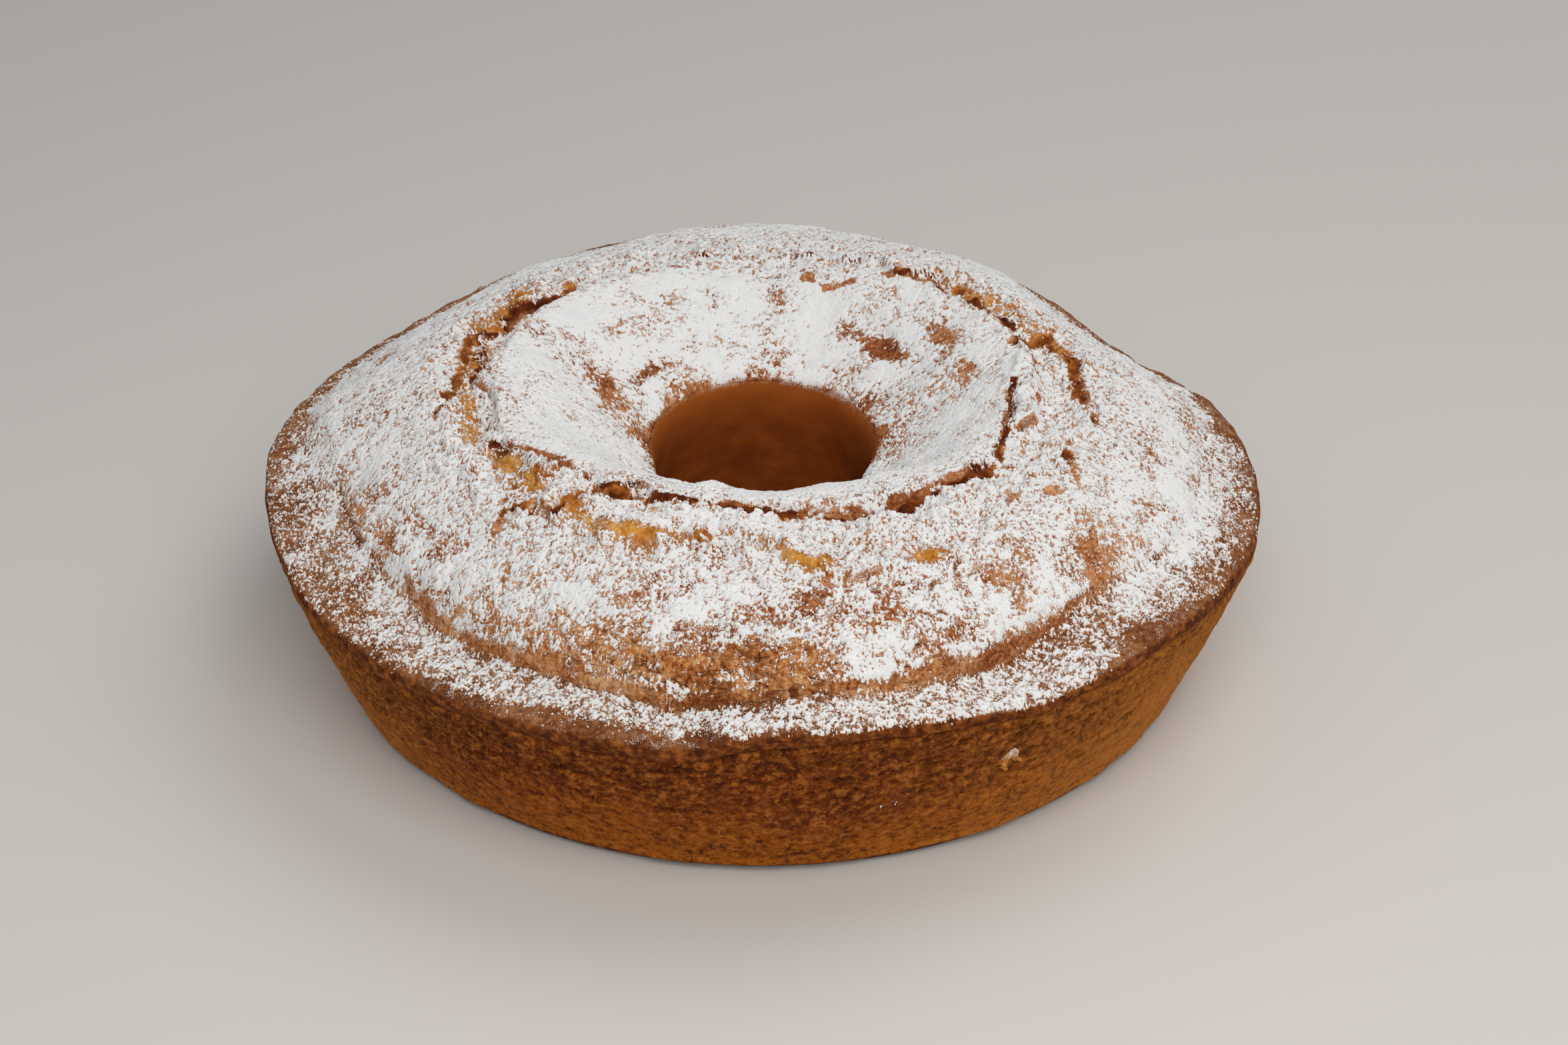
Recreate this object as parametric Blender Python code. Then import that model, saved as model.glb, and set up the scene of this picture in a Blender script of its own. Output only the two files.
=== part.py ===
"""Plain ring cake, baked in a flared ring tin and stood the way it baked, risen side up.

One solid piece of sponge. From the outside in, its section is: a flat foot, a flared smooth
wall, a thin lip where the batter met the tin's edge, a nearly level ledge, a fold where the
risen dome stands on the ledge, the dome itself with the torn crack that runs round its top,
the crest, and the funnel that falls into the hole left by the tin's tube.

Metres, +Z up. The origin is under the middle of the cake, on the surface it stands on.
"""
import math

import bmesh
import bpy

# Driving dimensions
RIM_RADIUS = 0.130           # to the lip, the widest place
RIM_HEIGHT = 0.0450          # of the lip's widest place, where nothing lifts or lowers it
FOOT_RADIUS = 0.1162         # where the wall would meet the table with a sharp edge
FOOT_ROUNDING = 0.004        # radius of the foot's outer edge
HOLE_FOOT_ROUNDING = 0.002   # height of the chamfer round the hole, underneath
WALL_BELLY = 0.0012          # how far the wall swells out low down
LIP_ROUNDING = 0.0032        # radius of the lip's edge
LEDGE_WIDTH = 0.0155         # from the lip's edge to the fold
LEDGE_RISE = 0.0050          # the ledge's height over the lip's widest place, in front
LEDGE_FILL = 0.0034          # how much higher it swelled where the fold is lost
LEDGE_DISH = 0.0005
FOLD_STEP = 0.0038           # height of the dome's foot over the ledge, in front
FOLD_FRONT = -97             # degrees round the ring where the fold is clearest
FOLD_SPREAD = 55             # degrees to either side over which it is lost again
FOLD_LEFT = 0.2              # share of the step that is left behind and at the sides
CREST_RADIUS = 0.066         # highest ring of the dome
CREST_HEIGHT = 0.0715
DOME_FULLNESS = 0.85         # 0.5 makes the dome's section an ellipse, 1 a parabola
TEAR_RADIUS = 0.0865         # middle of the crack's outer, torn edge
CRACK_RADIUS = 0.0715        # middle of the crack's deep inner edge
CRACK_DEPTH = 0.0062         # under the unbroken dome, where the crack is deepest
CRACK_LIP = 0.0008           # how far the inner crust stands up over the crack
HOLE_RADIUS = 0.0285         # narrowest, under the funnel
HOLE_FOOT_RADIUS = 0.0335    # the tin's tube is wider at its foot
FUNNEL_FOOT = 0.0485         # height at which the funnel becomes the hole's wall
FUNNEL_ROUNDING = 0.12       # how soft the crest is, as a share of the funnel's width

# Places round the ring that stand out from the rest: place and half width in degrees, angle 0
# at +X, then what each adds to the height and to the radius
LIP_SWELLS = [
    (95, 34, 0.0080, 0.0006),
    (31, 16, -0.0060, -0.0032),
    (180, 15, 0.0036, 0.0),
    (-135, 24, -0.0030, 0.0),
    (-84, 16, 0.0031, -0.0006),
    (-99, 5, -0.0026, 0.0005),
    (-62, 6, -0.0020, 0.0),
    (-43, 8, 0.0016, 0.0),
]
FOLD_SWELLS = [
    (-87, 18, 0.0, 0.0064),
    (-150, 22, 0.0, -0.0030),
    (-48, 12, 0.0, -0.0032),
    (60, 30, 0.0, 0.0015),
]
TEAR_SWELLS = [
    (-71, 13, 0.0, 0.0090),
    (-120, 14, 0.0, -0.0030),
    (5, 30, 0.0, -0.0020),
    (90, 40, 0.0, -0.0050),
]
CRACK_SWELLS = [
    (-78, 22, 0.0, 0.0022),
    (-150, 16, 0.0, 0.0030),
    (90, 30, 0.0, 0.0020),
]

# How the mesh is cut up
AROUND = 112
WALL_RINGS = 6
DOME_RINGS = 8
FUNNEL_RINGS = 8
HOLE_RINGS = 4


def sway(angle, waves):
    """Sum of waves round the ring; each wave is (how many, size, where its top is in degrees)."""
    total = 0.0
    for count, size, top in waves:
        total += size * math.cos(count * (angle - math.radians(top)))
    return total


def bump(angle, place, width):
    """Rises from 0 to 1 and back around a place on the ring, both in degrees."""
    away = math.remainder(angle - math.radians(place), 2 * math.pi)
    return math.exp(-(math.degrees(away) / width) ** 2)


def lifted(angle, swells):
    return sum(lift * bump(angle, place, width) for place, width, lift, wider in swells)


def widened(angle, swells):
    return sum(wider * bump(angle, place, width) for place, width, lift, wider in swells)


def rim_radius(angle):
    """The lip is nearly round, drawn in a little where it sank behind on the right."""
    return RIM_RADIUS + widened(angle, LIP_SWELLS) + sway(angle, [(5, 0.0005, -97), (11, 0.0003, 20)])


def rim_height(angle):
    """The batter climbed high at the far side and sank beside it; in front it hangs in a small tongue."""
    return RIM_HEIGHT + lifted(angle, LIP_SWELLS)


def fold_radius(angle):
    """The foot of the dome wanders in and out along the ledge, and comes far out in front."""
    wander = [(3, 0.0007, 25), (5, 0.0006, -60), (9, 0.0005, 10), (14, 0.0004, 0)]
    return rim_radius(angle) - LEDGE_WIDTH + widened(angle, FOLD_SWELLS) + sway(angle, wander)


def fold_clearness(angle):
    """1 in front, where the fold is clear, and 0 at the sides and behind, where it is nearly lost."""
    return min(1.0, 1.6 * bump(angle, FOLD_FRONT, FOLD_SPREAD))


def fold_step(angle):
    return FOLD_STEP * (FOLD_LEFT + (1.0 - FOLD_LEFT) * fold_clearness(angle))


def ledge_rise(angle):
    """Where the fold is lost, the ledge swelled into one slope with the dome."""
    return LEDGE_RISE + LEDGE_FILL * (1.0 - fold_clearness(angle))


def crest_height(angle):
    return CREST_HEIGHT + sway(angle, [(1, 0.0010, 200), (3, 0.0008, 40), (6, 0.0005, 0)])


def tear_radius(angle):
    """Outer edge of the crack: far out at the front and sides, ragged all round."""
    wander = [(5, 0.0009, 10), (8, 0.0010, 35), (13, 0.0008, 0)]
    return TEAR_RADIUS + widened(angle, TEAR_SWELLS) + sway(angle, wander)


def crack_radius(angle):
    """Inner edge of the crack, where the risen crust stands up like a low cliff."""
    wander = [(3, 0.0008, -30), (5, 0.0008, 80), (9, 0.0008, 20), (14, 0.0005, 0)]
    return CRACK_RADIUS + widened(angle, CRACK_SWELLS) + sway(angle, wander)


def crack_depth(angle):
    """Deep in front and on the left, shallower elsewhere, and never quite closed."""
    share = 0.60 + sway(angle, [(1, 0.14, -110), (2, 0.12, 150), (5, 0.10, 40), (9, 0.06, 5)])
    return CRACK_DEPTH * share


def hole_radius(angle):
    return HOLE_RADIUS + sway(angle, [(2, 0.0005, 60), (5, 0.0004, 10)])


def funnel_foot(angle):
    """The hole's edge stands higher at the far side, where the cake rose more."""
    return FUNNEL_FOOT + sway(angle, [(1, 0.0040, 90), (3, 0.0006, 0)])


def top_height(radius, angle):
    """Height of the unbroken top: dome outside the crest, funnel inside it."""
    crest = crest_height(angle)
    if radius > CREST_RADIUS:
        foot = rim_height(angle) + ledge_rise(angle) + fold_step(angle)
        outward = (radius - CREST_RADIUS) / (fold_radius(angle) - CREST_RADIUS)
        return foot + (crest - foot) * max(0.0, 1.0 - outward * outward) ** DOME_FULLNESS
    inward = (CREST_RADIUS - radius) / (CREST_RADIUS - hole_radius(angle))
    fall = math.hypot(inward, FUNNEL_ROUNDING) - FUNNEL_ROUNDING
    whole_fall = math.hypot(1.0, FUNNEL_ROUNDING) - FUNNEL_ROUNDING
    return crest - (crest - funnel_foot(angle)) * fall / whole_fall


def foot_points():
    """From the hole's edge underneath, out over the flat foot and up its rounded edge."""
    points = [(HOLE_FOOT_RADIUS, 0.0)]
    middle = FOOT_RADIUS - FOOT_ROUNDING
    for turn in (0, 30, 60, 90):
        way = math.radians(turn)
        points.append((middle + FOOT_ROUNDING * math.sin(way), FOOT_ROUNDING * (1.0 - math.cos(way))))
    return points


def wall_points(angle):
    """The flared wall, from the foot to just under the lip."""
    rim = rim_radius(angle)
    height = rim_height(angle)
    low = FOOT_ROUNDING
    high = height - LIP_ROUNDING
    points = []
    for ring in range(1, WALL_RINGS + 1):
        up = ring / WALL_RINGS
        belly = WALL_BELLY * math.sin(math.pi * up) * (1.0 - up)
        radius = FOOT_RADIUS + (rim - 0.5 * LIP_ROUNDING - FOOT_RADIUS) * up + belly
        points.append((radius, low + (high - low) * up))
    return points


def ledge_points(angle):
    """The lip's rounded edge, the shallow dish of the ledge, and the steep step of the fold."""
    rim = rim_radius(angle)
    height = rim_height(angle)
    fold = fold_radius(angle)
    rise = ledge_rise(angle)
    step = fold_step(angle)
    points = []
    for turn in (-30, 5, 40, 75):
        way = math.radians(turn)
        points.append((rim - LIP_ROUNDING + LIP_ROUNDING * math.cos(way),
                       height + LIP_ROUNDING * math.sin(way)))
    start = rim - LIP_ROUNDING
    for share in (0.35, 0.7):
        dish = LEDGE_DISH * math.sin(math.pi * share)
        points.append((start + (fold - start) * share,
                       height + LIP_ROUNDING + (rise - LIP_ROUNDING) * share - dish))
    points.append((fold + 0.15 * FOLD_STEP, height + rise - 0.1 * step))
    points.append((fold, height + rise + 0.55 * step))
    return points


def dome_points(angle):
    """From just over the fold up to the ragged outer edge of the crack."""
    tear = tear_radius(angle)
    start = fold_radius(angle) - 0.4 * FOLD_STEP
    points = []
    for ring in range(DOME_RINGS):
        radius = start + (tear - start) * (ring / (DOME_RINGS - 1)) ** 0.9
        points.append((radius, top_height(radius, angle)))
    return points


def crack_points(angle):
    """Torn crumb sloping in to the foot of the inner cliff, and the lip that the cliff carries."""
    tear = tear_radius(angle)
    crack = crack_radius(angle)
    depth = crack_depth(angle)
    points = []
    for share, sunk in ((0.08, 0.42), (0.45, 0.55), (0.94, 1.0)):
        radius = tear + (crack - tear) * share
        points.append((radius, top_height(radius, angle) - depth * sunk))
    points.append((crack - 0.1 * CRACK_DEPTH, top_height(crack, angle) - depth * 0.25))
    inside = crack - 0.32 * CRACK_DEPTH
    points.append((inside, top_height(inside, angle) + CRACK_LIP))
    return points


def funnel_points(angle):
    """From behind the crack's lip over the crest and down to the hole."""
    hole = hole_radius(angle)
    start = crack_radius(angle) - 0.8 * CRACK_DEPTH
    points = []
    for ring in range(FUNNEL_RINGS):
        radius = start + (hole - start) * (ring / (FUNNEL_RINGS - 1)) ** 0.85
        points.append((radius, top_height(radius, angle)))
    return points


def hole_points(angle):
    """The hole's wall, a little wider lower down, to its chamfered edge underneath."""
    hole = hole_radius(angle)
    top = funnel_foot(angle) + 0.001
    wide = HOLE_FOOT_RADIUS - 0.4 * HOLE_FOOT_ROUNDING
    points = []
    for ring in range(1, HOLE_RINGS + 1):
        down = ring / HOLE_RINGS
        points.append((hole + (wide - hole) * down, top + (HOLE_FOOT_ROUNDING - top) * down))
    return points


def section(angle):
    """Closed section of the cake at one angle, as (radius, height), from the foot up and over."""
    outside = foot_points() + wall_points(angle) + ledge_points(angle)
    return outside + dome_points(angle) + crack_points(angle) + funnel_points(angle) + hole_points(angle)


def crust_material():
    material = bpy.data.materials.new("browned_sponge")
    material.use_nodes = True
    shader = material.node_tree.nodes["Principled BSDF"]
    shader.inputs["Base Color"].default_value = (0.42, 0.19, 0.065, 1.0)
    shader.inputs["Roughness"].default_value = 0.85
    shader.inputs["Metallic"].default_value = 0.0
    return material


def ring_cake():
    """Sections at equal angles, each joined to the next one all the way round."""
    shape = bmesh.new()
    sections = []
    for step in range(AROUND):
        angle = 2.0 * math.pi * step / AROUND
        column = []
        for radius, height in section(angle):
            column.append(shape.verts.new((radius * math.cos(angle), radius * math.sin(angle), height)))
        sections.append(column)
    count = len(sections[0])
    for step in range(AROUND):
        here = sections[step]
        there = sections[(step + 1) % AROUND]
        for ring in range(count):
            after = (ring + 1) % count
            shape.faces.new((here[ring], there[ring], there[after], here[after]))
    mesh = bpy.data.meshes.new("cake")
    shape.to_mesh(mesh)
    shape.free()
    mesh.materials.append(crust_material())
    mesh.shade_smooth()
    cake = bpy.data.objects.new("cake", mesh)
    bpy.context.collection.objects.link(cake)
    return cake


def centre_on_axis(cake):
    """The lip isn't quite round, so the finished piece is slid until its box is centred."""
    across = [vertex.co.x for vertex in cake.data.vertices]
    along = [vertex.co.y for vertex in cake.data.vertices]
    middle_x = (min(across) + max(across)) / 2.0
    middle_y = (min(along) + max(along)) / 2.0
    for vertex in cake.data.vertices:
        vertex.co.x -= middle_x
        vertex.co.y -= middle_y


for old in list(bpy.data.objects):
    bpy.data.objects.remove(old, do_unlink=True)
centre_on_axis(ring_cake())
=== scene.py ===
"""Ring cake with a torn golden top under icing sugar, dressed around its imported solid. Metres."""
import math

import bpy
import numpy as np
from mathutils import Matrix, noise


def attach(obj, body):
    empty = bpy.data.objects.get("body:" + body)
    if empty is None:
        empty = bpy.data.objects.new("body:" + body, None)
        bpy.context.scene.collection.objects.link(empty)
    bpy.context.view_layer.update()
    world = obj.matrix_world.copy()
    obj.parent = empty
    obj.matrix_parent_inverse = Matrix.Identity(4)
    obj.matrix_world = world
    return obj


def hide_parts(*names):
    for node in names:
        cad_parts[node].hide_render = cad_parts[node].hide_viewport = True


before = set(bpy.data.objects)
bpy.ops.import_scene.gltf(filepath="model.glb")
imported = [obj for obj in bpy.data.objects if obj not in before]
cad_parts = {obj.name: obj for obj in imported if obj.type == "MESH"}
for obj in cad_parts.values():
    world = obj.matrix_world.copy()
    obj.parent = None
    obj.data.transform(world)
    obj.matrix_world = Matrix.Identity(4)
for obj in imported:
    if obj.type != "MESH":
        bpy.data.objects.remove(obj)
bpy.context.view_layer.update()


# ----------------------------------------------------------------------
# Crust
# The skin of the whole cake: lip, ledge, risen dome, funnel, hole and foot, all sponge that
# browned in the oven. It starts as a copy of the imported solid, is smoothed, and is pushed
# about as risen batter is.
# ----------------------------------------------------------------------

CAKE_MIDDLE = (0.0005, -0.0003)   # the rings of lip, fold and crack are drawn around this place
LIP_RADIUS = 0.130
LIP_HEIGHT = 0.045
LIP_ROUNDING = 0.0032
LEDGE_WIDTH = 0.0155
HOLE_RADIUS = 0.0285
CRUST_LEVELS = 2
SIDE_INSET = 0.0012               # the crust's own wall lies this far behind the baked side

# Places round the lip: angle and half width in degrees, rise and widening
LIP_SWELLS = [
    (95, 34, 0.0080, 0.0006),
    (31, 16, -0.0060, -0.0032),
    (180, 15, 0.0036, 0.0),
    (-135, 24, -0.0030, 0.0),
    (-84, 16, 0.0031, -0.0006),
    (-99, 5, -0.0026, 0.0005),
    (-62, 6, -0.0020, 0.0),
    (-43, 8, 0.0016, 0.0),
]

# Places round the fold: angle, half width, how much farther out it lies
FOLD_SWELLS = [(-87, 18, 0.0064), (-150, 22, -0.0030), (-48, 12, -0.0032), (60, 30, 0.0015)]

# Bumps on the crest in front: east, north, half width, rise
CREST_BUMPS = [
    (-0.0125, -0.0610, 0.0055, 0.0020),
    (0.0070, -0.0640, 0.0080, -0.0006),
    (-0.0330, -0.0570, 0.0060, 0.0008),
]

# Stretches of the ring, as angle and half width
TONGUE = (-112.0, 20.0)           # where the lip's smooth skin hangs lower
CRINKLED_FRONT = (-93.0, 30.0)    # where the skin behind the fold was pushed together
SOFT_LEFT = (-176.0, 24.0)        # where the dome runs out to the lip with hardly any fold


def pick_only(piece):
    bpy.ops.object.select_all(action="DESELECT")
    piece.select_set(True)
    bpy.context.view_layer.objects.active = piece


def read_points(piece, what="co"):
    flat = np.empty(len(piece.data.vertices) * 3)
    piece.data.vertices.foreach_get(what, flat)
    return flat.reshape(-1, 3)


def write_points(piece, points):
    piece.data.vertices.foreach_set("co", points.astype(np.float32).ravel())
    piece.data.update()


def round_off(piece, levels):
    """Splits the faces of the picked piece finer and rounds them."""
    rounding = piece.modifiers.new("rounding", "SUBSURF")
    rounding.levels = levels
    rounding.render_levels = levels
    bpy.ops.object.modifier_apply(modifier="rounding")
    bpy.ops.object.shade_smooth()


def store(piece, **numbers):
    """Keeps numbers for each point of a piece, or one for them all, for its material to read."""
    for name, values in numbers.items():
        layer = piece.data.attributes.new(name, "FLOAT", "POINT")
        layer.data.foreach_set("value", np.full(len(layer.data), values, dtype=np.float32))


def lumps(points, size, layers=2, shift=0.0):
    """Smooth unevenness, mostly between -0.5 and 0.5, whose lumps are about that size in metres."""
    return np.array([noise.fractal(place, 0.9, 2.0, layers) for place in (points / size + shift).tolist()])


def step(low, high, value):
    """0 under low, 1 over high, and a soft rise between them."""
    share = np.clip((value - low) / (high - low), 0.0, 1.0)
    return share * share * (3.0 - 2.0 * share)


def polar(points):
    """Angle in degrees and distance from the cake's middle, seen from above."""
    across = points[:, :2] - np.array(CAKE_MIDDLE)
    return np.degrees(np.arctan2(across[:, 1], across[:, 0])), np.hypot(across[:, 0], across[:, 1])


def near(angle, place, width):
    """1 at a place round the ring, fading to either side; all in degrees."""
    return np.exp(-((((angle - place + 180.0) % 360.0) - 180.0) / width) ** 2)


def swelled(angle, swells):
    """Sum of changes round the ring; each is (angle, half width, change)."""
    return sum(change * near(angle, place, width) for place, width, change in swells)


def sway(angle, waves):
    """Sum of waves round the ring; each wave is (how many, size, where its top is in degrees)."""
    return sum(size * np.cos(count * np.radians(angle - top)) for count, size, top in waves)


def lip_radius(angle):
    swells = sum(wider * near(angle, place, width) for place, width, rise, wider in LIP_SWELLS)
    return LIP_RADIUS + swells + sway(angle, [(5, 0.0005, -97), (11, 0.0003, 20)])


def lip_height(angle):
    return LIP_HEIGHT + sum(rise * near(angle, place, width) for place, width, rise, wider in LIP_SWELLS)


def fold_radius(angle):
    wander = [(3, 0.0007, 25), (5, 0.0006, -60), (9, 0.0005, 10), (14, 0.0004, 0)]
    return lip_radius(angle) - LEDGE_WIDTH + swelled(angle, FOLD_SWELLS) + sway(angle, wander)


def crinkled(points):
    """1 where the skin was pushed into crinkles behind the fold in front, fading to 0 round it."""
    angle, radius = polar(points)
    behind = fold_radius(angle) - radius
    return near(angle, *CRINKLED_FRONT) * np.exp(-((behind - 0.004) / 0.007) ** 2)


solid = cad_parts["cake"]
crust = bpy.data.objects.new("crust", solid.data.copy())
bpy.context.collection.objects.link(crust)
crust.data.materials.clear()
pick_only(crust)
bpy.ops.object.mode_set(mode="EDIT")
bpy.ops.mesh.select_all(action="SELECT")
bpy.ops.mesh.remove_doubles(threshold=0.00001)
bpy.ops.mesh.tris_convert_to_quads(face_threshold=math.pi, shape_threshold=math.pi)
bpy.ops.object.mode_set(mode="OBJECT")
round_off(crust, CRUST_LEVELS)

points = read_points(crust)
facing = read_points(crust, "normal")
angle, radius = polar(points)
fold = fold_radius(angle)
tongue = near(angle, *TONGUE)
under_lip = lip_height(angle) - LIP_ROUNDING * (0.25 + 0.6 * tongue)
outward = (facing[:, :2] * points[:, :2]).sum(axis=1) / radius
on_side = step(0.3, 0.6, outward) * step(0.001, 0.004, points[:, 2])
on_side *= step(0.0, -0.002, points[:, 2] - under_lip)
on_top = step(0.25, 0.60, facing[:, 2]) * step(0.034, 0.038, points[:, 2])
in_hole = step(0.05, 0.4, -outward) * step(0.0, 0.5, 1.0 - on_top)
clear_of_foot = step(0.0005, 0.006, points[:, 2])

# Broad swelling, smaller lumps on the top, and skin that was drawn out along the lip
push = 0.0010 * lumps(points, 0.028) * clear_of_foot
push += 0.0007 * lumps(points, 0.009, 3, 7.0) * on_top
lip_share = step(0.004, 0.0005, lip_radius(angle) - radius) * (1.0 - on_side) * clear_of_foot
push += 0.0005 * lumps(points, 0.014, 2, 9.0) * lip_share
push -= SIDE_INSET * on_side
push += 0.0017 * near(angle, *SOFT_LEFT) * np.exp(-((radius - fold - 0.0008) / 0.0042) ** 2) * on_top
for east, north, wide, high in CREST_BUMPS:
    push += high * np.exp(-((points[:, 0] - east) ** 2 + (points[:, 1] - north) ** 2) / wide ** 2) * on_top
points += facing * push[:, None]
write_points(crust, points)
on_lip_edge = (radius > fold) * (1.0 - tongue)
store(
    crust, top=on_top * step(0.25, 0.60, facing[:, 2] - 0.28 * on_lip_edge), hole=in_hole,
    lip=step(-0.0005, 0.0015, radius - fold), crinkled=crinkled(points), crease=0.0,
)

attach(crust, "root")
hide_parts("cake")


def tint(red, green, blue):
    """A colour as it is picked on a screen, 0 to 255, turned into the light that it stands for."""
    light = [((part / 255 + 0.055) / 1.055) ** 2.4 for part in (red, green, blue)]
    return (*light, 1.0)


def new_finish(name, roughness, gloss):
    """A material with its node tree and its shader."""
    finish = bpy.data.materials.new(name)
    finish.use_nodes = True
    shader = finish.node_tree.nodes["Principled BSDF"]
    shader.inputs["Roughness"].default_value = roughness
    shader.inputs["Specular IOR Level"].default_value = gloss
    return finish, finish.node_tree, shader


def feed(tree, socket, source):
    """Gives a socket a number, a colour as it is picked on a screen, or another socket's value."""
    if isinstance(source, float):
        socket.default_value = source
    elif isinstance(source, tuple):
        socket.default_value = tint(*source)
    else:
        tree.links.new(source, socket)


def new_node(tree, kind, **sources):
    """A node of that kind, with sources for its inputs; _ stands for the space in a name."""
    node = tree.nodes.new("ShaderNode" + kind)
    for label, source in sources.items():
        feed(tree, node.inputs[label.replace("_", " ")], source)
    return node


def place_of(tree, stretch=(1.0, 1.0, 1.0)):
    """The object's own coordinates, squeezed by a factor along each axis."""
    squeeze = new_node(tree, "Mapping", Vector=new_node(tree, "TexCoord").outputs["Object"])
    squeeze.inputs["Scale"].default_value = stretch
    return squeeze.outputs["Vector"]


def mottle(tree, place, size, detail=3.0, roughness=0.55):
    """Noise whose spots are about that size in metres."""
    spots = new_node(
        tree, "TexNoise", Vector=place, Scale=0.5 / size, Detail=detail, Roughness=roughness,
    )
    return spots.outputs["Fac"]


def pits(tree, place, size):
    """0 in the middle of scattered round pits and 1 between them."""
    return new_node(tree, "TexVoronoi", Vector=place, Scale=1.0 / size).outputs["Distance"]


def shades(tree, value, stops):
    """A colour ramp; each stop is its place and its red, green and blue."""
    ramp = new_node(tree, "ValToRGB", Fac=value)
    while len(ramp.color_ramp.elements) < len(stops):
        ramp.color_ramp.elements.new(0.5)
    for element, (place, *shade) in zip(ramp.color_ramp.elements, stops):
        element.position = place
        element.color = tint(*shade)
    return ramp.outputs["Color"]


def mixed(tree, share, first, second):
    """Share 0 gives the first colour, share 1 the second; each may be a colour or a socket."""
    mix = tree.nodes.new("ShaderNodeMix")
    mix.data_type = "RGBA"
    for place, source in ((0, share), (6, first), (7, second)):
        feed(tree, mix.inputs[place], source)
    return mix.outputs[2]


def worked(tree, kind, first, second):
    """Arithmetic on two numbers or sockets."""
    node = tree.nodes.new("ShaderNodeMath")
    node.operation = kind
    feed(tree, node.inputs[0], first)
    feed(tree, node.inputs[1], second)
    return node.outputs[0]


def plus(tree, first, second):
    return worked(tree, "ADD", first, second)


def times(tree, first, second):
    return worked(tree, "MULTIPLY", first, second)


def spread(tree, value, low, high, to_low=0.0, to_high=1.0):
    node = new_node(
        tree, "MapRange", Value=value, From_Min=low, From_Max=high, To_Min=to_low, To_Max=to_high,
    )
    return node.outputs["Result"]


def kept(tree, name):
    """A number that was stored on the piece's points."""
    node = tree.nodes.new("ShaderNodeAttribute")
    node.attribute_name = name
    return node.outputs["Fac"]


def roughen(tree, shader, height, depth, strength=0.8):
    bump = new_node(tree, "Bump", Strength=strength, Distance=depth, Height=height)
    tree.links.new(bump.outputs["Normal"], shader.inputs["Normal"])


def folds(tree, place, size):
    """1 along thin wandering lines that lie about that far apart, and 0 between them."""
    away = worked(tree, "ABSOLUTE", worked(tree, "SUBTRACT", mottle(tree, place, size, 2.0, 0.6), 0.5), 0.0)
    return spread(tree, away, 0.035, 0.0)


def wrinkles(tree, where):
    """Lines and puffs of skin that was pushed together in front; the lines run across."""
    across = place_of(tree, (0.38, 1.0, 1.0))
    patchy = spread(tree, mottle(tree, where, 0.004, 2.0), 0.42, 0.56)
    line = times(tree, folds(tree, across, 0.0024), patchy)
    puff = mottle(tree, place_of(tree, (0.6, 1.0, 1.0)), 0.0022, 3.0, 0.6)
    return line, puff


def shared_effect(name, inputs, outputs):
    """An empty node group with its two end nodes; its sockets are given as (name, kind)."""
    group = bpy.data.node_groups.new(name, "ShaderNodeTree")
    for way, sockets in (("INPUT", inputs), ("OUTPUT", outputs)):
        for label, kind in sockets:
            group.interface.new_socket(label, in_out=way, socket_type="NodeSocket" + kind)
    return group, group.nodes.new("NodeGroupInput").outputs, group.nodes.new("NodeGroupOutput").inputs


def placed(tree, effect, **sources):
    """Puts a shared effect into a material; each source is a number or a socket."""
    node = tree.nodes.new("ShaderNodeGroup")
    node.node_tree = effect
    for label, source in sources.items():
        feed(tree, node.inputs[label], source)
    return node.outputs


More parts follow.
